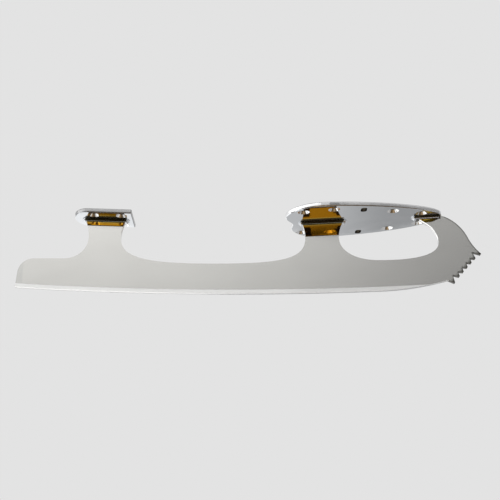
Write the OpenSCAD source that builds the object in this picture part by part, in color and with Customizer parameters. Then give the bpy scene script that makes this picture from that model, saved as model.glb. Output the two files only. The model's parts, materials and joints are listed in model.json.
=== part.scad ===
// Figure skate blade: a steel runner with its toe pick, brazed to a sole plate and a heel plate.
// X runs from tail to toe, Y across the blade and Z up from the ice.
// The origin lies in the middle of the sole plate's top face, on the runner's middle plane.

/* [Layout] */
// Blade size: rear end of the heel plate to front end of the sole plate
blade_size = 254; // [240:1:290]
// Height of the sole plate's underside above the ice, at the plate's middle
sole_height = 53; // [50:0.5:58]
// Height of the heel plate's underside above the ice, at its middle
heel_height = 53; // [50:0.5:58]
// Rise of the sole plate towards the toe, in degrees
sole_pitch = 3.1; // [1:0.1:5]
// Fall of the heel plate towards the toe, in degrees
heel_pitch = 2; // [0:0.1:4]

/* [Runner] */
// Thickness of the runner
runner_t = 4; // [3.6:0.1:4.6]
// Radius of the rocker, the long curve of the edge
rocker_r = 2438; // [2100:1:2800]
// Distance of the rocker's lowest point behind the sole plate's middle
rocker_back = 89.5; // [75:0.5:105]
// Radius of the shorter curve between the rocker and the toe pick
spin_r = 190; // [150:1:240]
// Distance of that curve's start ahead of the sole plate's middle
spin_start = 11.5; // [5:0.5:18]
// Radius of the hollow ground along the edge
hollow_r = 12.7; // [9:0.1:20]
// Height of the ground band above the edge
ground_h = 2.5; // [1.5:0.1:4]
// Depth of the ground band below the runner's sides
ground_relief = 0.1; // [0.05:0.01:0.2]
// Height of the runner's back above the ice, behind the heel post
tail_h = 24.7; // [22:0.1:28]
// Length of the tail behind the heel plate
tail_overhang = 39.3; // [30:0.5:48]
// Radius of the tail's upper corner
tail_corner_r = 11; // [4:0.5:14]
// Forward lean of the tail's end, in degrees
tail_lean = 6; // [0:0.5:10]
// Height of the runner's back above the ice, between the posts
body_h = 20.9; // [18:0.1:25]
// Height of the runner's back above the ice, under the sole plate
toe_body_h = 23.4; // [20:0.1:26]

/* [Posts] */
// Height of both posts' waists above the ice
waist_h = 39.8; // [37:0.1:42]
// Width of the heel post at its waist
heel_post_w = 22.2; // [18:0.1:26]
// Distance of the heel post's middle ahead of the heel plate's rear end
heel_post_setback = 21.2; // [18:0.1:24]
// Run of the curve from the tail up to the heel post
heel_fillet = 16; // [10:0.5:22]
// Width of the front post at its waist
front_post_w = 23.1; // [19:0.1:27]
// Distance of the front post's middle ahead of the sole plate's rear end
front_post_setback = 25.4; // [22:0.1:32]
// Run of the curve from the front post down to the toe window's floor
front_fillet = 27; // [20:0.5:34]
// Widening of a post from its waist to its plate, at the rear
flare_rear = 2.7; // [1:0.1:4]
// Widening of a post from its waist to its plate, at the front
flare_front = 3.6; // [1:0.1:5]

/* [Toe arm] */
// Distance of the toe window's front end behind the sole plate's front end
arm_setback = 3; // [1:0.1:6]
// Height of the toe window's front end above the ice
arm_waist_h = 36.3; // [33:0.1:39]
// Radius of the window's upper curve along the arm
arm_inner_r = 16; // [12:0.5:18]
// Turn of that curve before it runs straight to the plate, in degrees
arm_inner_turn = 57; // [45:1:65]
// Radius of the arm's outer curve
arm_outer_r = 30; // [29:0.1:34]
// Depth of the outer curve's centre below the sole plate
arm_centre_drop = 28.5; // [27:0.1:28.8]
// Distance between the outer curve's start and the sole plate's front end
arm_nose_setback = 0.8; // [0.4:0.1:2]
// Radius of the hollow curve from the arm to the top tooth
arm_throat_r = 35; // [30:0.5:45]

/* [Toe pick] */
// Reach of the top tooth's tip beyond the sole plate's front end
pick_reach = 25.8; // [24:0.1:29]
// Height of the top tooth's tip above the ice
pick_h = 28; // [26:0.1:30]
// Number of even teeth under the top tooth
pick_teeth = 5; // [3:1:5]
// Spacing of the even teeth
pick_pitch = 4.3; // [3.8:0.02:4.6]
// Depth of the gaps between the even teeth
pick_depth = 3.1; // [2:0.05:3.4]
// Depth of the gap under the top tooth
top_depth = 4.8; // [3.5:0.1:5.2]
// Width of the teeth's crests, along the row
pick_crest = 0.4; // [0.2:0.1:0.8]
// Slope of the row of teeth, in degrees
pick_slope = 48; // [45:1:54]
// Distance from the top tooth's tip back to the first even tip
pick_step_back = 4.1; // [3.5:0.1:5]
// Distance from the top tooth's tip down to the first even tip
pick_step_down = 3.3; // [2.6:0.1:4]
// Distance of the drag pick's tip behind the last even tip
drag_back = 3.3; // [2.5:0.1:4]
// Distance of the drag pick's tip below the last even tip
drag_down = 4.5; // [3.8:0.1:5.2]
// Depth of the gap above the drag pick
drag_depth = 4.1; // [3:0.1:4.6]
// Length of the drag pick's foot behind its tip
drag_foot = 4.8; // [4:0.1:6]

/* [Plates] */
// Thickness of both plates
plate_t = 3; // [2.4:0.1:3.6]
// Chamfer around the plates' edges
plate_chamfer = 0.5; // [0.2:0.1:0.8]
// Length of the sole plate
sole_len = 108.5; // [100:0.5:120]
// Half width of the sole plate on the near side
sole_near = 33.5; // [30:0.5:38]
// Half width of the sole plate on the far side
sole_far = 33.3; // [28:0.1:36]
// Distance of the near side's widest place behind the sole plate's middle
near_wide_back = 31.4; // [26:0.1:35]
// Distance of the far side's widest place behind the sole plate's middle
far_wide_back = 27.3; // [22:0.1:31]
// Distance of the near rear lobe's end from the runner's middle plane
near_lobe_y = 13; // [10:0.5:16]
// Distance of the far rear lobe's end from the runner's middle plane
far_lobe_y = 11; // [8:0.5:14]
// Distance of the far lobe's end ahead of the near one's
lobe_step = 4.4; // [2:0.1:7]
// Depth of the dip between the lobes, ahead of the near one's end
lobe_dip = 5.1; // [4.5:0.1:8]
// Distance of that dip from the runner's middle plane, on the far side
dip_y = 5.2; // [3:0.1:7]
// Length of the heel plate
heel_len = 40.4; // [38:0.2:46]
// Half width of the heel plate on the near side
heel_near = 16; // [14:0.5:20]
// Half width of the heel plate on the far side
heel_far = 14; // [13:0.5:18]
// Length of the heel plate's round rear end
heel_round = 11; // [7:0.5:13]

/* [Holes] */
// Diameter of the screw holes
screw_d = 4.5; // [3.8:0.1:5]
// Diameter of the countersinks on the plates' undersides
sink_d = 8; // [6.4:0.1:8.6]
// Distance of the screw holes and slots from the sole plate's near edge
near_screw_margin = 7.8; // [6.5:0.1:8.5]
// Distance of the screw holes and slots from the sole plate's far edge
far_screw_margin = 6.5; // [6:0.1:7.5]
// Least land between a countersink and a braze fillet
sink_land = 0.4; // [0.2:0.1:0.8]
// Distance of the screw holes from the heel plate's side edges
heel_screw_margin = 5.6; // [5:0.1:6]
// Distance of the first pair of holes from the sole plate's rear end
sole_screw_first = 11.8; // [10:0.1:14]
// Distance of the last pair of holes from the sole plate's front end
sole_screw_last = 15; // [14.5:0.1:18]
// Distance of the first pair of holes from the heel plate's rear end
heel_screw_first = 14; // [12:0.1:16]
// Spacing of the pairs of holes along the heel plate
heel_screw_pitch = 19; // [15:0.1:20]
// Width of the adjusting slots
slot_w = 4.2; // [3.4:0.1:4.8]
// Length of the adjusting slots, across the plate
slot_len = 8; // [6:0.1:9]

/* [Joints] */
// Length of the tenons on the posts
tenon_len = 14; // [10:0.5:18]
// Length of the tenon on the toe arm
toe_tenon_len = 8; // [6:0.5:10]
// Clearance between a tenon and its slot, on each side
tenon_gap = 0.1; // [0.05:0.01:0.2]
// Depth of a tenon's end below the plate's top face
tenon_short = 0.2; // [0.1:0.05:0.5]
// Leg of the braze fillets
braze_leg = 2.1; // [1.6:0.1:2.4]
// Reach of the braze fillets' pointed ends beyond the posts
braze_tip = 2.2; // [1.8:0.1:2.4]
// Distance of the toe fillet's front end behind the sole plate's front end
toe_braze_setback = 1.8; // [1.6:0.1:3]
// Reach of the toe fillet's pointed end towards the plate's nose
toe_braze_tip = 0.8; // [0.6:0.1:0.9]
// Thickness of the braze fillets at their edges
braze_edge = 0.25; // [0.15:0.05:0.4]

/* [Hidden] */
$fn = 64;
// Steps of one drawn curve
steps = 16;
// Facets of the long circles that sweep the edge
rocker_fn = 1440;
spin_fn = 720;
// Overshoot of every cut beyond the faces it crosses
over = 2;

steel = [0.74, 0.74, 0.72];
chrome = [0.80, 0.81, 0.84];
gold = [0.66, 0.46, 0.12];

// Fullness of the curves: the shares of run and rise before a curve turns; 0.55 is a quarter ellipse
tail_full = [0.55, 0.55];
mid_rear_full = [0.77, 0.74];
mid_front_full = [0.77, 0.82];
toe_rear_full = [0.6, 0.6];
toe_front_full = [0.72, 0.6];
near_rear_full = [0.52, 0.46];
near_front_full = [0.35, 0.46];
far_rear_full = [0.62, 0.35];
far_front_full = [0.48, 0.57];
heel_full = [0.55, 0.6];
tip_full = [0.5, 0.3];

// Heights and stations along X
ice_z = -(sole_height + plate_t * cos(sole_pitch));
sole_rear = -sole_len / 2;
sole_front = sole_len / 2;
heel_rear = sole_front - blade_size;
heel_mid = heel_rear + heel_len / 2;
heel_post_x = heel_rear + heel_post_setback;
front_post_x = sole_rear + front_post_setback;
tail_x = heel_rear - tail_overhang;
rocker_x = -rocker_back;

// Underside of each plate above the ice, at a station along X
function sole_under(x) = sole_height + x * tan(sole_pitch);
function heel_under(x) = heel_height - (x - heel_mid) * tan(heel_pitch);

// Curves
function bezier(p) = [
    for (i = [0:steps])
        let (t = i / steps, u = 1 - t)
        u * u * u * p[0] + 3 * u * u * t * p[1] + 3 * u * t * t * p[2] + t * t * t * p[3]
];
function arc(centre, r, from, to) = [
    for (i = [0:steps])
        let (a = from + (to - from) * i / steps)
        centre + r * [cos(a), sin(a)]
];
function reversed(p) = [for (i = [len(p) - 1:-1:0]) p[i]];
function heading(p) = atan2(p.y, p.x);
// Curve from a level floor up to an upright waist
function rise(floor, waist, full) = bezier([
    floor,
    floor + [full.x * (waist.x - floor.x), 0],
    waist - [0, full.y * (waist.y - floor.y)],
    waist
]);
// Flare of a post from its waist up to its plate and a little past it
past_plate = 1.15;
function flare(waist, out, plate_h) = [
    for (i = [1:steps])
        let (t = past_plate * i / steps)
        waist + [out * t * t, (plate_h - waist.y) * t]
];
// Corner b of the path a, b, c, rounded
function round_corner(a, b, c, r) =
    let (
        u = (a - b) / norm(a - b),
        v = (c - b) / norm(c - b),
        half = acos(u * v) / 2,
        centre = b + (u + v) / norm(u + v) * r / sin(half),
        from = heading(b + u * r / tan(half) - centre),
        to = heading(b + v * r / tan(half) - centre),
        turn = to - from
    )
    arc(centre, r, from, from + (turn > 180 ? turn - 360 : turn < -180 ? turn + 360 : turn));

// Tail and heel post
heel_waist_rear = [heel_post_x - heel_post_w / 2, waist_h];
heel_waist_front = [heel_post_x + heel_post_w / 2, waist_h];
tail_foot = [tail_x, -over];
tail_corner = [tail_x + tail_h * tan(tail_lean), tail_h];
tail_back = [heel_waist_rear.x - heel_fillet, tail_h];
tail_path = concat(
    [tail_foot],
    round_corner(tail_foot, tail_corner, tail_back, tail_corner_r),
    rise(tail_back, heel_waist_rear, tail_full),
    flare(heel_waist_rear, -flare_rear, heel_under(heel_waist_rear.x))
);

// Window between the heel post and the front post
front_waist_rear = [front_post_x - front_post_w / 2, waist_h];
front_waist_front = [front_post_x + front_post_w / 2, waist_h];
mid_floor = [(heel_waist_front.x + front_waist_rear.x) / 2, body_h];
mid_path = concat(
    reversed(flare(heel_waist_front, flare_front, heel_under(heel_waist_front.x))),
    reversed(rise(mid_floor, heel_waist_front, mid_rear_full)),
    rise(mid_floor, front_waist_rear, mid_front_full),
    flare(front_waist_rear, -flare_rear, sole_under(front_waist_rear.x))
);

// Window between the front post and the toe arm
arm_waist = [sole_front - arm_setback, arm_waist_h];
toe_floor = [front_waist_front.x + front_fillet, toe_body_h];
arm_inner = arc(arm_waist - [arm_inner_r, 0], arm_inner_r, 0, arm_inner_turn);
arm_inner_end = arm_inner[steps];
arm_inner_rise = sole_under(arm_inner_end.x) + over - arm_inner_end.y;
arm_root = arm_inner_end + arm_inner_rise * [-tan(arm_inner_turn), 1];
toe_path = concat(
    reversed(flare(front_waist_front, flare_front, sole_under(front_waist_front.x))),
    reversed(rise(toe_floor, front_waist_front, toe_rear_full)),
    rise(toe_floor, arm_waist, toe_front_full),
    arm_inner,
    [arm_root]
);

// Outer curve of the toe arm: a full curve that turns into the throat above the top tooth
pick_top = [sole_front + pick_reach, pick_h];
nose_x = sole_front - arm_nose_setback;
nose_run = sqrt(pow(arm_outer_r, 2) - pow(arm_centre_drop, 2));
arm_centre = [nose_x - nose_run, sole_under(nose_x) - arm_centre_drop];
to_pick = pick_top - arm_centre;
to_throat = arm_outer_r + arm_throat_r;
// Angle at the arm's centre between the top tooth and the throat's centre, by the cosine rule
throat_cos_num = pow(to_throat, 2) + to_pick * to_pick - pow(arm_throat_r, 2);
throat_cos = throat_cos_num / (2 * to_throat * norm(to_pick));
throat_angle = heading(to_pick) + acos(throat_cos);
throat_centre = arm_centre + to_throat * [cos(throat_angle), sin(throat_angle)];
arm_path = concat(
    arc(arm_centre, arm_outer_r, 90, throat_angle),
    arc(throat_centre, arm_throat_r, throat_angle + 180, heading(pick_top - throat_centre) + 360)
);

// Toe pick: the top tooth, a straight row of even teeth and the drag pick
row = [-cos(pick_slope), -sin(pick_slope)];
row_out = [sin(pick_slope), -cos(pick_slope)];
// Place of a gap's floor between two tips, as a share of the pitch
gap_share = 0.55;
function tip(i) = pick_top - [pick_step_back, pick_step_down] + i * pick_pitch * row;
function gap(i, depth) = tip(i) + gap_share * pick_pitch * row - depth * row_out;
last_tooth = pick_teeth - 1;
drag_tip = tip(last_tooth) - [drag_back, drag_down];
function crest(i) = [for (side = [-0.5, 0.5]) tip(i) + side * pick_crest * row];
function depth_below(i) = i < last_tooth ? pick_depth : drag_depth;
pick_path = concat(
    [pick_top + pick_crest * row, gap(-1, top_depth)],
    [for (i = [0:last_tooth]) each concat(crest(i), [gap(i, depth_below(i))])],
    [drag_tip]
);

// Curve of the edge between the drag pick and the rocker
spin_turn = asin((spin_start - rocker_x) / rocker_r);
spin_centre = [rocker_x, rocker_r] + (rocker_r - spin_r) * [sin(spin_turn), -cos(spin_turn)];
spin_end = asin((drag_tip.x - drag_foot - spin_centre.x) / spin_r);
spin_path = arc(spin_centre, spin_r, spin_end - 90, spin_turn - 90);
under_path = [[spin_path[steps].x, -over]];

// Frames of the plates, with the underside at height 0, and of the runner's side view
module on_ice() {
    translate([0, 0, ice_z]) children();
}
module on_sole() {
    rotate([0, -sole_pitch, 0]) translate([0, 0, -plate_t]) children();
}
module on_heel() {
    translate([heel_mid, 0, ice_z + heel_height]) rotate([0, heel_pitch, 0]) children();
}
module sole_line() {
    translate([0, -ice_z]) rotate(sole_pitch) translate([0, -plate_t]) children();
}
module heel_line() {
    translate([heel_mid, heel_height]) rotate(-heel_pitch) children();
}
module upright(t) {
    rotate([90, 0, 0]) linear_extrude(t, center = true) children();
}

// Spans of the joints along X, where the posts and the toe arm meet the plates
front_joint = [front_waist_rear.x - flare_rear, front_waist_front.x + flare_front];
heel_joint = [heel_waist_rear.x - flare_rear, heel_waist_front.x + flare_front];
toe_joint = [arm_root.x + over * tan(arm_inner_turn), sole_front - toe_braze_setback];
// Half width of the braze fillets, and the radius of their hollow flanks
braze_side = runner_t / 2 + braze_leg;
braze_hollow = braze_leg - braze_edge;

// Stations along a plate, and tenons as [station, length]
function along_sole(x) = x / cos(sole_pitch);
function along_heel(x) = (x - heel_mid) / cos(heel_pitch);
function middle(span) = (span[0] + span[1]) / 2;
front_tenon = [along_sole(middle(front_joint)), tenon_len];
toe_tenon = [along_sole(middle(toe_joint)), toe_tenon_len];
heel_tenon = [along_heel(middle(heel_joint)), tenon_len];

module tenon(t) {
    translate([t[0] - t[1] / 2, -over]) square([t[1], over + plate_t - tenon_short]);
}
module tenon_slot(t) {
    length = t[1] + 2 * tenon_gap;
    width = runner_t + 2 * tenon_gap;
    translate([t[0] - length / 2, -width / 2, -over]) cube([length, width, plate_t + 2 * over]);
}

// Side view of the runner above the ice, without the rocker and the tenons
module runner_side() {
    difference() {
        polygon(concat(tail_path, mid_path, toe_path, arm_path, pick_path, spin_path, under_path));
        sole_line() translate([-sole_len, 0]) square([2 * sole_len, sole_height]);
        heel_line() translate([-heel_len, 0]) square([2 * heel_len, heel_height]);
    }
}

// Cross-section of the runner, swept along the rocker: sides, ground band and hollow
section_h = sole_height + heel_height;
sweep = 2 * asin(blade_size / rocker_r);
edge_half = runner_t / 2 - ground_relief;
hollow_rise = sqrt(pow(hollow_r, 2) - pow(edge_half, 2));
module runner_section() {
    difference() {
        union() {
            translate([rocker_r - section_h, -runner_t / 2]) square([section_h - ground_h, runner_t]);
            translate([rocker_r - section_h, -edge_half]) square([section_h, 2 * edge_half]);
        }
        translate([rocker_r + hollow_rise, 0]) circle(hollow_r);
    }
}
module rocker_sweep() {
    translate([rocker_x, 0, rocker_r]) rotate([90, 0, 0]) rotate([0, 0, 270 - sweep / 2])
        rotate_extrude(angle = sweep, $fn = rocker_fn) runner_section();
}
// Hollow ground along the curve before the toe pick
module spin_hollow() {
    translate([spin_centre.x, 0, spin_centre.y]) rotate([90, 0, 0]) rotate([0, 0, spin_turn - 90])
        rotate_extrude(angle = spin_end - spin_turn, $fn = spin_fn)
            translate([spin_r + hollow_rise, 0]) circle(hollow_r);
}

module runner() {
    blank_t = runner_t + 2 * over;
    color(steel) on_ice() difference() {
        intersection() {
            union() {
                upright(blank_t) runner_side();
                upright(blank_t) sole_line() tenon(front_tenon);
                upright(blank_t) sole_line() tenon(toe_tenon);
                upright(blank_t) heel_line() tenon(heel_tenon);
            }
            rocker_sweep();
        }
        spin_hollow();
    }
}

// Outline of the sole plate seen from above: widest places, nose, rear lobes and the dip between them
near_widest = [-near_wide_back, -sole_near];
far_widest = [-far_wide_back, sole_far];
sole_nose = [sole_front, 0];
near_lobe = [sole_rear, -near_lobe_y];
far_lobe = [sole_rear + lobe_step, far_lobe_y];
dip = [sole_rear + lobe_dip, dip_y];
near_front = rise(near_widest, sole_nose, near_front_full);
near_rear = rise(near_widest, near_lobe, near_rear_full);
far_front = rise(far_widest, sole_nose, far_front_full);
far_rear = rise(far_widest, far_lobe, far_rear_full);
// Curve from a lobe's end into the dip, square to the blade at both ends
function into_dip(lobe) =
    let (half_y = (lobe.y + dip.y) / 2)
    bezier([lobe, [lobe.x, half_y], [dip.x, half_y], dip]);
far_dip = into_dip(far_lobe);
near_dip = into_dip(near_lobe);

// Chain of curves as one closed outline, each joint taken once
function joined(curves) = [for (c = curves) for (i = [0:len(c) - 2]) c[i]];
sole_outline = joined([
    near_front,
    reversed(far_front),
    far_rear,
    far_dip,
    reversed(near_dip),
    reversed(near_rear)
]);

// Outline of the heel plate: square at the front and round at the rear
heel_end = heel_len / 2;
heel_tip = [-heel_end, 0];
heel_far_round = rise([heel_round - heel_end, heel_far], heel_tip, heel_full);
heel_near_round = rise([heel_round - heel_end, -heel_near], heel_tip, heel_full);
heel_outline = joined([
    [[heel_end, -heel_near], [heel_end, heel_far], heel_far_round[0]],
    heel_far_round,
    reversed(heel_near_round),
    [heel_near_round[0], [heel_end, -heel_near]]
]);

// Anticlockwise outline moved inwards by d, at height z
function left_of(v) = [-v.y, v.x] / norm(v);
function inward(p, i) =
    let (
        n = len(p),
        before = left_of(p[i] - p[(i + n - 1) % n]),
        after = left_of(p[(i + 1) % n] - p[i])
    )
    (before + after) / (1 + before * after);
function inset(p, d, z) = [
    for (i = [0:len(p) - 1])
        let (q = p[i] + d * inward(p, i))
        [q.x, q.y, z]
];
// Plate with chamfered edges: rings of points from its underside to its top face
module plate(outline) {
    n = len(outline);
    rings = [
        inset(outline, plate_chamfer, 0),
        inset(outline, 0, plate_chamfer),
        inset(outline, 0, plate_t - plate_chamfer),
        inset(outline, plate_chamfer, plate_t)
    ];
    last = len(rings) - 1;
    walls = [
        for (k = [0:last - 1])
            for (i = [0:n - 1])
                let (j = (i + 1) % n)
                [k * n + i, k * n + n + i, k * n + n + j, k * n + j]
    ];
    underside = [for (i = [0:n - 1]) i];
    top_face = [for (i = [n - 1:-1:0]) last * n + i];
    polyhedron([for (ring = rings) each ring], concat([underside], walls, [top_face]));
}

// Holes through a plate: countersunk screw hole, and adjusting slot across the plate
through = plate_t + 2 * over;
module screw_hole(at) {
    sink_h = (sink_d - screw_d) / 2;
    translate([at.x, at.y, -over]) cylinder(d = screw_d, h = through);
    translate([at.x, at.y, -over]) cylinder(d1 = sink_d + 2 * over, d2 = screw_d, h = sink_h + over);
}
module slot_hole(at) {
    half = (slot_len - slot_w) / 2;
    for (side = [-half, half])
        translate([at.x, at.y + side, -over]) cylinder(d = slot_w, h = through);
    translate([at.x - slot_w / 2, at.y - half, -over]) cube([slot_w, 2 * half, through]);
}

// Pairs of holes along each plate, set in from its side edges
sole_near_edge = concat(reversed(near_rear), near_front);
sole_far_edge = concat(reversed(far_rear), far_front);
sole_pairs = 5;
sole_hole_y = braze_side + sink_land + sink_d / 2;
sole_screw_pitch = (sole_len - sole_screw_first - sole_screw_last) / (sole_pairs - 1);
function sole_pair(i) =
    let (
        x = sole_rear + sole_screw_first + i * sole_screw_pitch,
        near = lookup(x, sole_near_edge) + near_screw_margin,
        far = lookup(x, sole_far_edge) - far_screw_margin
    )
    [[x, min(near, -sole_hole_y)], [x, max(far, sole_hole_y)]];
function heel_pair(i) =
    let (x = heel_screw_first - heel_end + i * heel_screw_pitch)
    [[x, heel_screw_margin - heel_near], [x, heel_far - heel_screw_margin]];
sole_screw_pairs = [0, 1, 3, 4];
sole_slot_pair = 2;
heel_screw_pairs = [0, 1];

module sole_plate() {
    color(chrome) on_sole() difference() {
        plate(sole_outline);
        for (i = sole_screw_pairs) for (at = sole_pair(i)) screw_hole(at);
        for (at = sole_pair(sole_slot_pair)) slot_hole(at);
        tenon_slot(front_tenon);
        tenon_slot(toe_tenon);
    }
}

module heel_plate() {
    color(chrome) on_heel() difference() {
        plate(heel_outline);
        for (i = heel_screw_pairs) for (at = heel_pair(i)) screw_hole(at);
        tenon_slot(heel_tenon);
    }
}

// Half of a bead's pointed end, from its side to its tip
function bead_end(x, side, tip_x) = rise([x, side], [tip_x, 0], tip_full);
// Braze fillet under a plate, with hollow flanks and pointed ends; the joint's span lies along the plate
module braze_bead(span, rear_tip, front_tip) {
    rear = span[0] - rear_tip;
    front = span[1] + front_tip;
    outline = joined([
        reversed(bead_end(span[0], -braze_side, rear)),
        [[span[0], -braze_side], [span[1], -braze_side]],
        bead_end(span[1], -braze_side, front),
        reversed(bead_end(span[1], braze_side, front)),
        [[span[1], braze_side], [span[0], braze_side]],
        bead_end(span[0], braze_side, rear)
    ]);
    difference() {
        translate([0, 0, -braze_leg]) linear_extrude(braze_leg) polygon(outline);
        for (y = [-braze_side, braze_side])
            translate([rear - over, y, -braze_leg]) rotate([0, 90, 0])
                cylinder(r = braze_hollow, h = front - rear + 2 * over);
        braze_end(rear, rear_tip);
        braze_end(front, front_tip);
    }
}
// Hollow that thins the bead towards one pointed end
module braze_end(x, reach) {
    r = (reach * reach + braze_hollow * braze_hollow) / (2 * braze_hollow);
    translate([x, 0, -braze_edge - r]) rotate([90, 0, 0]) cylinder(r = r, h = 2 * braze_side + over, center = true);
}
module clear_of_runner() {
    difference() {
        children();
        on_ice() upright(runner_t) runner_side();
    }
}

module front_braze() {
    span = [along_sole(front_joint[0]), along_sole(front_joint[1])];
    color(gold) clear_of_runner() on_sole() braze_bead(span, braze_tip, braze_tip);
}

module toe_braze() {
    span = [along_sole(toe_joint[0]), along_sole(toe_joint[1])];
    color(gold) clear_of_runner() on_sole() braze_bead(span, braze_tip, toe_braze_tip);
}

module heel_braze() {
    span = [along_heel(heel_joint[0]), along_heel(heel_joint[1])];
    color(gold) clear_of_runner() on_heel() braze_bead(span, braze_tip, braze_tip);
}

runner();
sole_plate();
heel_plate();
front_braze();
toe_braze();
heel_braze();
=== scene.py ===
"""Figure skate blade: the finish of its steel, chrome and braze, with the camera and the studio."""
import json
import math

import bpy
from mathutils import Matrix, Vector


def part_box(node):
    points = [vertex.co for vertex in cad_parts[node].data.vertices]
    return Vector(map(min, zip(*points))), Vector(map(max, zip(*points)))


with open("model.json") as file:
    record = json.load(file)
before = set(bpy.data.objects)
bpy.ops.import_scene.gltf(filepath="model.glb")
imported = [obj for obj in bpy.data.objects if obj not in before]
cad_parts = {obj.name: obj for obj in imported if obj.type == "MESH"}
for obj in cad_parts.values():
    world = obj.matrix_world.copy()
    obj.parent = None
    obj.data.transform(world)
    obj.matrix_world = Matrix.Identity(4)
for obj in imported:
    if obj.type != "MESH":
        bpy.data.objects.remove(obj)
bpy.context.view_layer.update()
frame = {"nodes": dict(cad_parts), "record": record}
nodes = frame["nodes"]
mounts = frame["record"]["mounts"]

MM = 0.001

# Sizes of the part that the finishes follow, in metres and radians
PLATE_T = 3 * MM
SOLE_PITCH = math.radians(3.1)
HEEL_PITCH = math.radians(2)
HEEL_MID_X = -179.55 * MM
UNDERSIDE_H = 53 * MM
ICE_Z = -(UNDERSIDE_H + PLATE_T * math.cos(SOLE_PITCH))
RUNNER_T = 4 * MM
ROCKER_R = 2438 * MM
ROCKER_X = -89.5 * MM
GROUND_H = 2.5 * MM
FRONT_POST_X = -28.4 * MM
FRONT_POST_W = 29.4 * MM
HEEL_POST_X = -178.1 * MM
HEEL_POST_W = 28.5 * MM
TOE_JOINT_X = 43.85 * MM
TOE_JOINT_W = 17.2 * MM

# Distance from a post's middle within which a finish belongs to that post
POST_REACH = 24 * MM

# Softness of a line between two finishes
LINE_SOFT = 0.12 * MM

# Middle part of the noise's range, over which tones and roughness change
NOISE_RANGE = (0.3, 0.7)

# First input and output of a Mix node for each type of data
MIX_SOCKETS = {"FLOAT": (2, 0), "VECTOR": (4, 1), "RGBA": (6, 2)}

# Rays per point for a rounded edge
BEVEL_SAMPLES = 8


def rgb(r, g, b):
    return (r, g, b, 1.0)


class Shader:
    """A material's node tree, with short calls for the nodes that the finishes use."""

    def __init__(self, name):
        self.material = bpy.data.materials.new(name)
        self.material.use_nodes = True
        self.tree = self.material.node_tree
        self.bsdf = self.tree.nodes["Principled BSDF"]
        self.coordinates = self.add("ShaderNodeTexCoord").outputs
        self.place = self.coordinates["Object"]

    def add(self, kind, *values, **settings):
        """A new node with these settings, and with the values in its first inputs."""
        node = self.tree.nodes.new(kind)
        for key, value in settings.items():
            setattr(node, key, value)
        for socket, value in zip(node.inputs, values):
            self.feed(socket, value)
        return node

    def feed(self, socket, value):
        """Link an output to the input, or give the input a plain value."""
        if isinstance(value, bpy.types.NodeSocket):
            self.tree.links.new(value, socket)
        else:
            socket.default_value = value

    def set(self, name, value):
        """Feed one of the surface shader's own inputs."""
        self.feed(self.bsdf.inputs[name], value)

    def math(self, operation, *values, clamp=False):
        return self.add("ShaderNodeMath", *values, operation=operation, use_clamp=clamp).outputs[0]

    def vector(self, operation, *values):
        return self.add("ShaderNodeVectorMath", *values, operation=operation).outputs

    def split(self, vector):
        """The three numbers of a vector."""
        return self.add("ShaderNodeSeparateXYZ", vector).outputs

    def joined(self, x=0.0, y=0.0, z=0.0):
        """The vector of three numbers."""
        return self.add("ShaderNodeCombineXYZ", x, y, z).outputs[0]

    def facing(self):
        """The three numbers of the direction that the surface faces, in the part's frame."""
        return self.split(self.coordinates["Normal"])

    def apart(self, a, b):
        """Distance between two numbers."""
        return self.math("ABSOLUTE", self.math("SUBTRACT", a, b))

    def near(self, value, middle, reach):
        """1 where the value lies within the reach of the middle, and 0 elsewhere."""
        return self.math("LESS_THAN", self.apart(value, middle), reach)

    def both(self, a, b):
        """Product of two shares: 1 where both are 1."""
        return self.math("MULTIPLY", a, b)

    def ramp(self, value, low, high, out_low=0.0, out_high=1.0):
        """The value mapped from low..high to out_low..out_high, and held at the ends."""
        node = self.add("ShaderNodeMapRange", value, low, high, out_low, out_high,
                        clamp=True, interpolation_type="SMOOTHSTEP")
        return node.outputs[0]

    def under(self, value, limit, soft):
        """1 where the value is under the limit and 0 where it is over, with a soft edge."""
        return self.ramp(value, limit + soft, limit - soft)

    def over(self, value, limit, soft):
        """1 where the value is over the limit and 0 where it is under, with a soft edge."""
        return self.ramp(value, limit - soft, limit + soft)

    def noise(self, scale, detail):
        """Noise in place; scale is given per metre along each axis."""
        mapping = self.add("ShaderNodeMapping", self.place)
        self.feed(mapping.inputs["Scale"], scale)
        node = self.add("ShaderNodeTexNoise", mapping.outputs[0])
        self.feed(node.inputs["Scale"], 1.0)
        self.feed(node.inputs["Detail"], detail)
        return node.outputs["Fac"]

    def between(self, data, share, a, b):
        """Value a where the share is 0, b where it is 1, for one type of data."""
        first, out = MIX_SOCKETS[data]
        node = self.add("ShaderNodeMix", share, data_type=data)
        self.feed(node.inputs[first], a)
        self.feed(node.inputs[first + 1], b)
        return node.outputs[out]

    def mix(self, share, a, b):
        """Colour a where the share is 0, b where it is 1."""
        return self.between("RGBA", share, a, b)

    def blend(self, share, a, b):
        """Number a where the share is 0, b where it is 1."""
        return self.between("FLOAT", share, a, b)

    def bump(self, height, strength, distance):
        node = self.add("ShaderNodeBump")
        self.feed(node.inputs["Strength"], strength)
        self.feed(node.inputs["Distance"], distance)
        self.feed(node.inputs["Height"], height)
        return node.outputs[0]

    def rounded(self, radius):
        """The surface's normal, rounded over within the radius of its edges."""
        return self.add("ShaderNodeBevel", radius, samples=BEVEL_SAMPLES).outputs[0]

    def softened(self, share, normal, radius):
        """The normal, rounded over within the radius where the share is 1."""
        return self.between("VECTOR", share, normal, self.rounded(radius))

    def leaning(self, normal, slope):
        """The normal, turned upwards by the slope."""
        turned = self.vector("ADD", normal, self.joined(z=slope))["Vector"]
        return self.vector("NORMALIZE", turned)["Vector"]


# Places on the blade

def below_line(s, x, z, pitch, x0, z0):
    """Depth of a point below the slanting line through (x0, z0) in the side view."""
    line = s.math("MULTIPLY_ADD", s.math("SUBTRACT", x, x0), math.tan(pitch), z0)
    return s.math("SUBTRACT", line, z)


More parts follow.
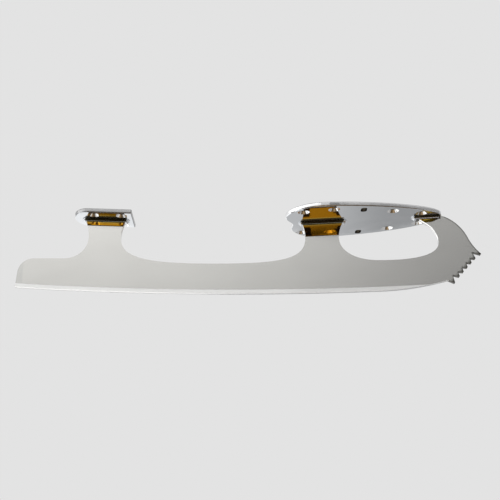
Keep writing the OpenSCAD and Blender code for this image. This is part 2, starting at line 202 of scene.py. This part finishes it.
def heel_end(s, x):
    """1 around the heel post, and 0 in front of it."""
    return s.math("LESS_THAN", x, HEEL_MID_X + POST_REACH)


def plate_depths(s, x, z):
    """Depths of a point below the sole plate, below the heel plate, and below the one it stands under."""
    sole = below_line(s, x, z, SOLE_PITCH, 0.0, -PLATE_T / math.cos(SOLE_PITCH))
    heel = below_line(s, x, z, -HEEL_PITCH, HEEL_MID_X, ICE_Z + UNDERSIDE_H)
    return sole, heel, s.blend(heel_end(s, x), sole, heel)


def rocker_height(s, x, z):
    """Height of a point above the rocker's circle."""
    dx = s.math("SUBTRACT", x, ROCKER_X)
    dz = s.math("SUBTRACT", z, ICE_Z + ROCKER_R)
    reach = s.math("SQRT", s.math("ADD", s.math("MULTIPLY", dx, dx), s.math("MULTIPLY", dz, dz)))
    return s.math("SUBTRACT", ROCKER_R, reach)


# Runner: satin sides, ground band and edge, gold tops of the posts, dark toe pick

# Satin: grain and clouds per metre, the grain's share in the tone and its bump, and the sheen's spread
GRAIN = (25.0, 400.0, 9000.0)
CLOUDS = (30.0, 30.0, 60.0)
GRAIN_SHARE = 0.4
GRAIN_BUMP = (0.01, 0.02 * MM)
SATIN_SPREAD = 0.95
SATIN_TONES = (rgb(0.665, 0.66, 0.64), rgb(0.695, 0.69, 0.67))
SATIN_ROUGHNESS = (0.214, 0.228)

# Strip ground across the tail's end
TAIL_STRIP = 4.8 * MM
TAIL_SOFT = 0.5 * MM
TAIL_TONE = rgb(0.635, 0.635, 0.62)

# Ground band: its lean towards the panel's brighter top, as a slope, and the stretch where painted shade
# makes it darker towards the toe
BAND_LEAN = 0.08
BAND_SHADE_SPAN = (-70 * MM, -25 * MM)
BAND_SHADE_TONE = rgb(0.84, 0.84, 0.835)
BAND_ROUGHNESS = 0.5

# Narrow faces: how far they face across the blade, their edges' rounding, and their polish's front end
NARROW_FACE = (0.7, 0.3)
NARROW_ROUND = 2.5 * MM
NARROW_ROUGHNESS = 0.16
POLISH_END = 56 * MM
BRIGHT_TONES = (rgb(0.93, 0.93, 0.925), rgb(0.98, 0.98, 0.975))

# Gold zones: depth below the plates, a paler line at the braze that is a painted highlight, and how far up
# the lower end gets painted shade
FRONT_GOLD = 10.6 * MM
HEEL_GOLD = 5.0 * MM
GOLD_HIGHLIGHT_DEPTHS = (2.3 * MM, 3.1 * MM)
GOLD_LOW_SHADE = (0.9 * MM, 0.3 * MM)
GOLD_TONES = (rgb(0.84, 0.35, 0.012), rgb(0.90, 0.38, 0.016))
HEEL_GOLD_TONE = rgb(0.89, 0.42, 0.021)
GOLD_HIGHLIGHT_TONE = rgb(0.95, 0.62, 0.12)
GOLD_ROUGHNESS = 0.05

# How near to the runner's side a point has to be for the gold, which the narrow faces don't have
SIDE_SKIN = 0.03 * MM

# The toe arm's gold zone, which thins out and fades towards the nose
TOE_GOLD = 4.6 * MM
TOE_GOLD_TIP = 2.4 * MM
TOE_GOLD_FROM = 30 * MM
TOE_GOLD_THINS = 46 * MM
TOE_GOLD_END = 53.4 * MM
TOE_GOLD_FADE = (45 * MM, 51.5 * MM)
TOE_GOLD_TONE = rgb(0.75, 0.50, 0.06)
TOE_FADE_TONE = rgb(0.16, 0.07, 0.01)

# Painted dark reflections at the ends of the gold zones: each post's middle, and the places where its left
# and right patches begin
GOLD_DARK_ENDS = (
    (FRONT_POST_X, -36.8 * MM, -19.2 * MM),
    (HEEL_POST_X, -187.5 * MM, -168.7 * MM),
)
GOLD_DARK_SOFT = 1.2 * MM
GOLD_DARK_PATCHES = (260.0, 260.0, 260.0)
GOLD_PAINTED_DARK_TONE = rgb(0.05, 0.022, 0.005)

# Painted shade on the toe arm's outer edge, where it faces out: the radius that rounds it, and how far it
# has to face out
ARM_EDGE_ROUND = 1.5 * MM
ARM_EDGE_TURN = (0.1, 0.4)
ARM_EDGE_SHADE_TONE = rgb(0.22, 0.215, 0.20)

# Toe pick: line through its even tips, reach of their dark ends, and depth and start of the whole pick
PICK_SLOPE = math.radians(48)
PICK_X = 76.0 * MM
PICK_Z = -31.3 * MM
PICK_SHADE = 3.4 * MM
PICK_DEPTH = 4.5 * MM
PICK_START = 57 * MM
PICK_TIP_TONE = rgb(0.06, 0.055, 0.045)
PICK_FACE_TONE = rgb(0.13, 0.125, 0.11)


def satin_grain(s):
    """Grain along the blade, and the spread of tones that it and the clouds give."""
    grain = s.noise(GRAIN, detail=2.0)
    clouds = s.noise(CLOUDS, detail=3.0)
    shares = s.math("MULTIPLY", grain, GRAIN_SHARE), s.math("MULTIPLY", clouds, 1 - GRAIN_SHARE)
    return grain, s.ramp(s.math("ADD", *shares), *NOISE_RANGE)


def steel_colour(s, x, tone, band, bright):
    """Satin steel with the strip at the tail, and the bright band, which painted shade makes darker towards
    the toe.
    """
    tail_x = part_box("runner")[0][0]
    strip = s.under(x, tail_x + TAIL_STRIP, TAIL_SOFT)
    satin = s.mix(strip, s.mix(tone, *SATIN_TONES), TAIL_TONE)
    # Painted shade: the ground band turns darker towards the toe
    ground = s.mix(s.ramp(x, *BAND_SHADE_SPAN), bright, BAND_SHADE_TONE)
    return s.mix(band, satin, ground)


def gold_zone(s, x, y, sole_depth, heel_depth):
    """1 on the polished tops of the posts and the toe arm, on the runner's sides only."""
    front = s.both(s.under(sole_depth, FRONT_GOLD, LINE_SOFT), s.near(x, FRONT_POST_X, POST_REACH))
    heel = s.both(s.under(heel_depth, HEEL_GOLD, LINE_SOFT), heel_end(s, x))
    toe_limit = s.ramp(x, TOE_GOLD_THINS, TOE_GOLD_END, TOE_GOLD, TOE_GOLD_TIP)
    toe_span = s.both(s.math("GREATER_THAN", x, TOE_GOLD_FROM), s.math("LESS_THAN", x, TOE_GOLD_END))
    toe = s.both(s.math("GREATER_THAN", toe_limit, sole_depth), toe_span)
    tops = s.math("ADD", s.math("ADD", front, heel), toe, clamp=True)
    on_side = s.math("GREATER_THAN", s.math("ABSOLUTE", y), RUNNER_T / 2 - SIDE_SKIN)
    return s.both(tops, on_side)


def painted_dark_ends(s, x):
    """1 at the ends of the posts' gold zones, which get painted dark reflections, and 0 in their middles."""
    patches = s.noise(GOLD_DARK_PATCHES, detail=3.0)
    ragged = s.math("ADD", x, s.ramp(patches, *NOISE_RANGE, -GOLD_DARK_SOFT, GOLD_DARK_SOFT))
    soft = GOLD_DARK_SOFT / 2
    ends = 0.0
    for middle, left, right in GOLD_DARK_ENDS:
        sides = s.math("ADD", s.under(ragged, left, soft), s.over(ragged, right, soft))
        ends = s.math("ADD", s.both(s.near(x, middle, POST_REACH), sides), ends)
    return ends


def gold_colour(s, x, depth, tone):
    """Gold polish: a painted highlight as a paler line at the braze, faded at the nose, with painted dark
    reflections at its ends and painted shade along its lower edges.
    """
    at_heel = heel_end(s, x)
    polish = s.mix(at_heel, s.mix(tone, *GOLD_TONES), HEEL_GOLD_TONE)
    # Painted highlight: a paler line at the braze
    gold = s.mix(s.ramp(depth, *GOLD_HIGHLIGHT_DEPTHS, 1.0, 0.0), polish, GOLD_HIGHLIGHT_TONE)
    gold = s.mix(s.math("GREATER_THAN", x, TOE_GOLD_FROM), gold, TOE_GOLD_TONE)
    gold = s.mix(s.ramp(x, *TOE_GOLD_FADE), gold, TOE_FADE_TONE)
    # Painted dark reflections at the ends, below the paler line
    under_line = s.ramp(depth, GOLD_HIGHLIGHT_DEPTHS[1], GOLD_HIGHLIGHT_DEPTHS[1] + GOLD_DARK_SOFT)
    painted_dark = s.both(painted_dark_ends(s, x), under_line)
    limit = s.blend(at_heel, FRONT_GOLD, HEEL_GOLD)
    # Painted shade along the lower edge of the gold
    low_shade = s.ramp(s.math("SUBTRACT", limit, depth), *GOLD_LOW_SHADE)
    return s.mix(s.math("MAXIMUM", painted_dark, low_shade), gold, GOLD_PAINTED_DARK_TONE)


def arm_edge_painted_shade(s, x):
    """1 along the toe arm's outer edge, which is rounded over and gets painted shade, and 0 elsewhere."""
    out_x, _, out_z = s.split(s.rounded(ARM_EDGE_ROUND))
    outward = s.ramp(s.math("ADD", out_x, out_z), *ARM_EDGE_TURN)
    return s.both(outward, s.math("GREATER_THAN", x, POLISH_END))


def toe_pick(s, x, z):
    """1 at the teeth's tips, falling to 0 at the gaps' floors, and 1 all over the toe pick."""
    across = s.math("MULTIPLY", s.math("SUBTRACT", x, PICK_X), math.sin(PICK_SLOPE))
    rise = s.math("MULTIPLY", s.math("SUBTRACT", z, PICK_Z), math.cos(PICK_SLOPE))
    beyond = s.math("SUBTRACT", across, rise)
    pick = s.both(s.math("GREATER_THAN", beyond, -PICK_DEPTH), s.math("GREATER_THAN", x, PICK_START))
    return s.ramp(beyond, -PICK_SHADE, 0.0), pick


def runner_finish():
    """All the finishes of the runner, in one material."""
    s = Shader("satin_steel")
    x, y, z = s.split(s.place)
    sole_depth, heel_depth, depth = plate_depths(s, x, z)
    gold = gold_zone(s, x, y, sole_depth, heel_depth)
    band = s.under(rocker_height(s, x, z), GROUND_H, LINE_SOFT)
    narrow = s.ramp(s.math("ABSOLUTE", s.facing()[1]), *NARROW_FACE)
    polished = s.both(narrow, s.math("LESS_THAN", x, POLISH_END))
    tips, pick = toe_pick(s, x, z)
    grain, tone = satin_grain(s)
    bright = s.mix(tone, *BRIGHT_TONES)

    colour = s.mix(gold, steel_colour(s, x, tone, band, bright), gold_colour(s, x, depth, tone))
    # Painted shade on the toe arm's outer edge, where it faces out
    colour = s.mix(arm_edge_painted_shade(s, x), colour, ARM_EDGE_SHADE_TONE)
    colour = s.mix(tips, colour, PICK_TIP_TONE)
    colour = s.mix(polished, colour, bright)
    colour = s.mix(s.both(narrow, pick), colour, PICK_FACE_TONE)
    s.set("Base Color", colour)
    s.set("Metallic", 1.0)

    steel_roughness = s.blend(band, s.blend(grain, *SATIN_ROUGHNESS), BAND_ROUGHNESS)
    side_roughness = s.blend(gold, steel_roughness, GOLD_ROUGHNESS)
    s.set("Roughness", s.blend(narrow, side_roughness, NARROW_ROUGHNESS))
    s.set("Anisotropic", SATIN_SPREAD)
    s.set("Tangent", s.add("ShaderNodeTangent", direction_type="RADIAL", axis="Z").outputs[0])

    lean = s.both(s.math("MULTIPLY", band, BAND_LEAN), s.math("SUBTRACT", 1.0, narrow))
    normal = s.softened(narrow, s.bump(grain, *GRAIN_BUMP), NARROW_ROUND)
    s.set("Normal", s.leaning(normal, lean))
    return s.material


# Plates: bright plating, with softer rims in painted tones, pale countersinks, and painted shade in the
# bores and slots

# Holes: radius of the countersinks, and how far the painted shade goes past the bores and the slots
SINK_R = 4.1 * MM
HOLE_MARGIN = 0.15 * MM
SLOT_MARGIN = 0.3 * MM
SINK_TONE = rgb(0.93, 0.93, 0.93)
BORE_SHADE_TONE = rgb(0.07, 0.06, 0.045)
BORE_ROUGHNESS = 0.4

# A distance longer than the part
FAR = 1.0

# Plating: smears and fine grain per metre, and the grain's bump
SMEARS = (60.0, 90.0, 60.0)
FINE_GRAIN = (900.0, 900.0, 900.0)
FINE_BUMP = (0.02, 0.01 * MM)
PLATING_TONES = (rgb(0.675, 0.70, 0.735), rgb(0.71, 0.73, 0.765))
PLATING_ROUGHNESS = (0.035, 0.07)

# Rims and chamfers: how far they face up, the painted shade on the chamfers that face up, the rounding of
# the rims' edges, and each plate's rim tone, painted lighter than the plating on the sole plate and painted
# darker on the heel plate
UPRIGHT_FACE = (0.9, 0.4)
CHAMFER_LOW = (0.4, 0.6)
CHAMFER_HIGH = (0.95, 0.85)
CHAMFER_SHADE_TONE = rgb(0.42, 0.42, 0.42)
RIM_ROUND = 0.9 * MM
RIM_ROUGHNESS = 0.22
SOLE_RIM_HIGHLIGHT_TONE = rgb(0.8784, 0.8784, 0.8906)
HEEL_RIM_SHADE_TONE = rgb(0.3384, 0.3384, 0.3431)


def screw_holes(plate):
    """Middles of a plate's screw holes and their radius, from the record's pairs across the blade."""
    patterns = [mount for mount in mounts if mount["kind"] == "bolt_pattern"]
    pairs = [mount for mount in patterns if mount["name"].startswith(plate)]
    middles = []
    for pair in pairs:
        x, y, _ = pair["pos_m"]
        half = pair["dims"]["pcd_mm"] * MM / 2
        middles += [(x, y - half, 0.0), (x, y + half, 0.0)]
    return middles, pairs[0]["dims"]["hole_r_mm"] * MM


def in_slots(s, x, y, plate):
    """1 inside a plate's pairs of slots across the blade, as the record has them."""
    inside = 0.0
    for mount in mounts:
        if mount["name"] == plate + "_slots":
            slot_x, middle_y, _ = mount["pos_m"]
            dims = mount["dims"]
            half_width = dims["hole_r_mm"] * MM
            half_length = dims["slot_length_mm"] * MM / 2
            half_spacing = dims["spacing_y_mm"] * MM / 2
            across = s.near(x, slot_x, half_width + SLOT_MARGIN)
            along = s.near(s.apart(y, middle_y), half_spacing, half_length + HOLE_MARGIN)
            inside = s.math("MAXIMUM", s.both(across, along), inside)
    return inside


def in_holes(s, x, y, plate):
    """1 inside a plate's countersinks, and 1 inside its bores and slots."""
    middles, bore_r = screw_holes(plate)
    flat = s.joined(x, y)
    nearest = FAR
    for middle in middles:
        nearest = s.math("MINIMUM", s.vector("DISTANCE", flat, middle)["Value"], nearest)
    in_bores = s.math("LESS_THAN", nearest, bore_r + HOLE_MARGIN)
    deep = s.math("MAXIMUM", in_bores, in_slots(s, x, y, plate))
    return s.math("LESS_THAN", nearest, SINK_R), deep


def chrome_finish(name, plate, rim_painted_tone):
    """Plating of the sole or the heel plate, whose rim gets painted light: a tone lighter or darker than the
    plating.
    """
    s = Shader(name)
    x, y, _ = s.split(s.place)
    up = s.facing()[2]
    upright = s.ramp(s.math("ABSOLUTE", up), *UPRIGHT_FACE)
    sinks, deep = in_holes(s, x, y, plate)
    rim = s.both(upright, s.math("SUBTRACT", 1.0, s.math("MAXIMUM", sinks, deep)))
    inside = s.both(deep, upright)
    chamfer = s.both(s.ramp(up, *CHAMFER_LOW), s.ramp(up, *CHAMFER_HIGH))
    smears = s.noise(SMEARS, detail=4.0)
    fine = s.noise(FINE_GRAIN, detail=2.0)

    # The rim's tone is painted light: a painted highlight on the sole plate, painted shade on the heel plate
    plating = s.mix(rim, s.mix(smears, *PLATING_TONES), rim_painted_tone)
    plating = s.mix(s.both(sinks, s.math("LESS_THAN", up, 0.0)), plating, SINK_TONE)
    # Painted shade on the chamfers that face up
    plating = s.mix(chamfer, plating, CHAMFER_SHADE_TONE)
    # Painted shade in the bores and slots
    s.set("Base Color", s.mix(inside, plating, BORE_SHADE_TONE))
    s.set("Metallic", 1.0)

    plate_roughness = s.ramp(smears, *NOISE_RANGE, *PLATING_ROUGHNESS)
    s.set("Roughness", s.blend(inside, s.blend(rim, plate_roughness, RIM_ROUGHNESS), BORE_ROUGHNESS))
    s.set("Normal", s.softened(rim, s.bump(fine, *FINE_BUMP), RIM_ROUND))
    return s.material


# Braze: dark fillets with a painted highlight along them, wider and brighter under the toe, and plated ends

# Patches per metre and their bump
BRAZE_PATCHES = (300.0, 900.0, 900.0)
BRAZE_BUMP = (0.05, 0.03 * MM)
BRAZE_TONES = (rgb(0.022, 0.019, 0.010), rgb(0.045, 0.039, 0.022))
BRAZE_ROUGHNESS = (0.16, 0.26)

# Ridge, a painted highlight along the fillets: its depth below the plates, and half its width
RIDGE_DEPTH = 1.5 * MM
RIDGE_HALF = 0.25 * MM
RIDGE_HIGHLIGHT_TONE = rgb(0.45, 0.43, 0.34)
TOE_RIDGE_HALF = 0.7 * MM
TOE_RIDGE_HIGHLIGHT_TONE = rgb(0.93, 0.93, 0.96)

# Joints: middle and width, where braze turns to plating past their ends, and how that draws in with depth
JOINTS = (
    (FRONT_POST_X, FRONT_POST_W),
    (HEEL_POST_X, HEEL_POST_W),
    (TOE_JOINT_X, TOE_JOINT_W),
)
RUN_OUT = (0.2 * MM, 1.0 * MM)
RUN_OUT_TAPER = 0.9
RUN_OUT_TONE = rgb(0.69, 0.715, 0.75)


def run_out(s, x, depth):
    """1 where the fillets run out past the ends of the joints, onto the plates."""
    drawn_in = s.math("MULTIPLY", depth, RUN_OUT_TAPER)
    past = 1.0
    for middle, width in JOINTS:
        beyond = s.math("SUBTRACT", s.apart(x, middle), width / 2)
        past = s.math("MINIMUM", s.ramp(s.math("ADD", beyond, drawn_in), *RUN_OUT), past)
    return past


def braze_finish():
    """Metal of the three fillets, with a painted highlight along each; the toe's is wider and brighter than
    the other two.
    """
    s = Shader("dark_braze")
    x, _, z = s.split(s.place)
    depth = plate_depths(s, x, z)[2]
    at_toe = s.math("GREATER_THAN", x, 0.0)
    half = s.blend(at_toe, RIDGE_HALF, TOE_RIDGE_HALF)
    ridge = s.ramp(s.apart(depth, RIDGE_DEPTH), half, 0.0)
    patches = s.noise(BRAZE_PATCHES, detail=4.0)

    # Painted highlight along the fillets, brighter under the toe
    metal = s.mix(ridge, s.mix(patches, *BRAZE_TONES), s.mix(at_toe, RIDGE_HIGHLIGHT_TONE, TOE_RIDGE_HIGHLIGHT_TONE))
    s.set("Base Color", s.mix(run_out(s, x, depth), metal, RUN_OUT_TONE))
    s.set("Metallic", 1.0)
    s.set("Roughness", s.ramp(patches, *NOISE_RANGE, *BRAZE_ROUGHNESS))
    s.set("Normal", s.bump(patches, *BRAZE_BUMP))
    return s.material


def dress(names, material):
    """Give the CAD nodes of these names the material."""
    for name in names:
        mesh = nodes[name].data
        mesh.materials.clear()
        mesh.materials.append(material)


dress(["runner"], runner_finish())
dress(["sole_plate"], chrome_finish("bright_chrome", "sole", SOLE_RIM_HIGHLIGHT_TONE))
dress(["heel_plate"], chrome_finish("bright_chrome_heel", "heel", HEEL_RIM_SHADE_TONE))
dress(["front_braze", "toe_braze", "heel_braze"], braze_finish())


# Studio: a plain pale floor and backdrop, a wide soft panel, and cards that show only in the metal

# Levels of the backdrop and of the even light, and the tints of the cards
BACKDROP = 0.768
AMBIENT = 0.7
SOFT_WHITE = rgb(1.0, 0.997, 0.985)
BROWN = rgb(1.0, 0.7, 0.4)

# Floor, with its faint clouds per metre
FLOOR_Z = -0.36
FLOOR_SIZE = 8.0
FLOOR_CLOUDS = (3.0, 3.0, 3.0)
FLOOR_TONES = (rgb(0.74, 0.74, 0.745), rgb(0.78, 0.78, 0.785))
FLOOR_ROUGHNESS = 0.9

# Two layers of cards on the floor, because some overlap, and the middles and heights of the cards that stand
CARD_Z = FLOOR_Z + 0.001
UPPER_Z = FLOOR_Z + 0.002
PANEL_Z = 0.55
PANEL_H = 1.5
BACK_Z = 0.15
BACK_H = 1.0

# Half the side of a stage plane in its own coordinates
PLANE_HALF = 0.5

# Turns of the cards
LYING = (0, 0, 0)
UPRIGHT = (math.radians(90), 0, 0)
SIDEWAYS = (math.radians(90), 0, math.radians(90))


def stage_plane(name, centre, turn, size, material):
    """Plane of the studio, which is no piece of the part."""
    bpy.ops.mesh.primitive_plane_add(size=2 * PLANE_HALF, location=centre, rotation=turn)
    plane = bpy.context.object
    plane.name = name
    plane.scale = (*size, 1)
    plane.data.materials.append(material)
    return plane


def studio_floor():
    s = Shader("pale_floor")
    s.set("Base Color", s.mix(s.noise(FLOOR_CLOUDS, detail=2.0), *FLOOR_TONES))
    s.set("Roughness", FLOOR_ROUGHNESS)
    s.set("Specular IOR Level", 0.0)
    stage_plane("studio_floor", (0, 0, FLOOR_Z), LYING, (FLOOR_SIZE, FLOOR_SIZE), s.material)


def studio_world():
    """The backdrop's colour for what the camera and the metal see, and even light for the rest."""
    world = bpy.data.worlds.new("studio")
    bpy.context.scene.world = world
    world.use_nodes = True
    tree = world.node_tree
    tree.nodes.clear()
    link = tree.links.new
    out = tree.nodes.new("ShaderNodeOutputWorld")
    light = tree.nodes.new("ShaderNodeBackground")
    shown = tree.nodes.new("ShaderNodeBackground")
    both = tree.nodes.new("ShaderNodeMixShader")
    path = tree.nodes.new("ShaderNodeLightPath")
    light.inputs["Strength"].default_value = AMBIENT
    shown.inputs["Color"].default_value = rgb(BACKDROP, BACKDROP, BACKDROP)
    seen = path.outputs["Is Camera Ray"]
    for kind in ("Is Glossy Ray", "Is Transmission Ray"):
        either = tree.nodes.new("ShaderNodeMath")
        either.operation = "MAXIMUM"
        link(seen, either.inputs[0])
        link(path.outputs[kind], either.inputs[1])
        seen = either.outputs[0]
    link(seen, both.inputs[0])
    link(light.outputs[0], both.inputs[1])
    link(shown.outputs[0], both.inputs[2])
    link(both.outputs[0], out.inputs["Surface"])


def card(name, centre, turn, size, level, steps=(), axis=0, tint=SOFT_WHITE, rise=None, lights_floor=False):
    """Soft panel or card of an even level, which the steps (start, end, level) change along X or Y.

    The rise is what the level is multiplied by at the lower and at the upper edge.
    """
    s = Shader(name + "_light")
    own = s.split(s.place)
    for start, end, next_level in steps:
        low, high = ((place - centre[axis]) / size[axis] for place in (start, end))
        level = s.blend(s.ramp(own[axis], low, high), level, next_level)
    if rise:
        level = s.math("MULTIPLY", level, s.ramp(own[1], -PLANE_HALF, PLANE_HALF, *rise))
    s.set("Base Color", rgb(0, 0, 0))
    s.set("Specular IOR Level", 0.0)
    s.set("Emission Color", tint)
    s.set("Emission Strength", level)
    plane = stage_plane(name, centre, turn, size, s.material)
    plane.visible_camera = False
    plane.visible_diffuse = lights_floor
    plane.visible_shadow = lights_floor


def floor_card(name, at, size, level, z=CARD_Z, **more):
    """Card that lies on the floor."""
    card(name, (*at, z), LYING, size, level, **more)


studio_world()
studio_floor()

# Ahead of the blade: the panel in the runner's sides, brighter at the left and towards its top
card("soft_panel", centre=(0, -1.3, PANEL_Z), turn=UPRIGHT, size=(5.0, PANEL_H), level=1.30,
     steps=((-0.36, -0.24, 1.42), (-0.28, 0.20, 0.85), (0.155, 0.235, 0.06),
            (0.36, 0.48, 0.54), (0.60, 1.10, 0.24)),
     rise=(0.3, 1.7), lights_floor=True)

# Beside and behind it: pale at the left and dark at the right, in the holes, rims and narrow faces
card("right_panel", centre=(2.5, 0.35, PANEL_Z), turn=SIDEWAYS, size=(3.3, PANEL_H), level=0.29)
card("left_near", centre=(-2.5, -0.05, PANEL_Z), turn=SIDEWAYS, size=(2.5, PANEL_H), level=1.9)
card("left_far", centre=(-2.5, 1.6, PANEL_Z), turn=SIDEWAYS, size=(0.8, PANEL_H), level=0.9)
card("back_left", centre=(-1.7, 2.4, BACK_Z), turn=UPRIGHT, size=(3.0, BACK_H), level=1.2)
card("back_right", centre=(2.2, 2.4, BACK_Z), turn=UPRIGHT, size=(3.0, BACK_H), level=0.2, tint=BROWN)

# On the floor behind: in the plates' undersides
floor_card("floor_behind", at=(-0.1, 1.0), size=(1.6, 0.30), level=1.08,
           steps=((-0.36, -0.18, 0.80), (-0.14, 0.0, 0.61), (0.05, 0.21, 0.38)))

# On the floor behind and below: paler at the left, in the ground edge
floor_card("edge_behind_left", at=(-0.43, 1.25), size=(0.94, 0.34), level=1.2, z=UPPER_Z,
           steps=((-0.25, -0.05, 0.76),))
floor_card("edge_behind_right", at=(0.37, 1.285), size=(0.66, 0.27), level=0.76, z=UPPER_Z)
floor_card("floor_left", at=(-0.52, 0.41), size=(0.76, 0.86), level=1.3)
floor_card("floor_middle", at=(0.0, 0.385), size=(0.28, 0.83), level=1.05, steps=((-0.14, -0.03, 0.80),))

# On the floor below the plates and ahead of them: dark brown, in the countersinks and the rims' lower edges
floor_card("under_sole", at=(0.25, -0.37), size=(0.7, 0.66), level=0.38, tint=BROWN,
           steps=((-0.05, 0.15, 0.12),))
floor_card("under_heel", at=(-0.23, -0.33), size=(0.26, 0.56), level=0.12, tint=BROWN)

# Farther ahead on the floor: in the gold tops of the posts, by way of the plates' undersides
floor_card("ahead_front", at=(0.05, -1.045), size=(0.16, 0.21), level=0.395, axis=1,
           steps=((-1.070, -1.100, 0.05),))
floor_card("ahead_heel", at=(-0.34, -1.06), size=(0.3, 0.12), level=0.11, axis=1,
           steps=((-1.050, -1.068, 0.66),))


# Camera: long lens, below the blade, level across and turned up by the rise in degrees

CAMERA_AT = (-0.0785, -0.7745, -0.2704)
CAMERA_RISE = 17.6
CAMERA_LENS = 85
CAMERA_SENSOR = 36


def photo_camera():
    data = bpy.data.cameras.new("photo_camera")
    data.lens = CAMERA_LENS
    data.sensor_width = CAMERA_SENSOR
    camera = bpy.data.objects.new("photo_camera", data)
    camera.location = CAMERA_AT
    camera.rotation_euler = (math.radians(90 + CAMERA_RISE), 0, 0)
    bpy.context.scene.collection.objects.link(camera)
    bpy.context.scene.camera = camera


photo_camera()
bpy.context.scene.view_settings.view_transform = "Standard"
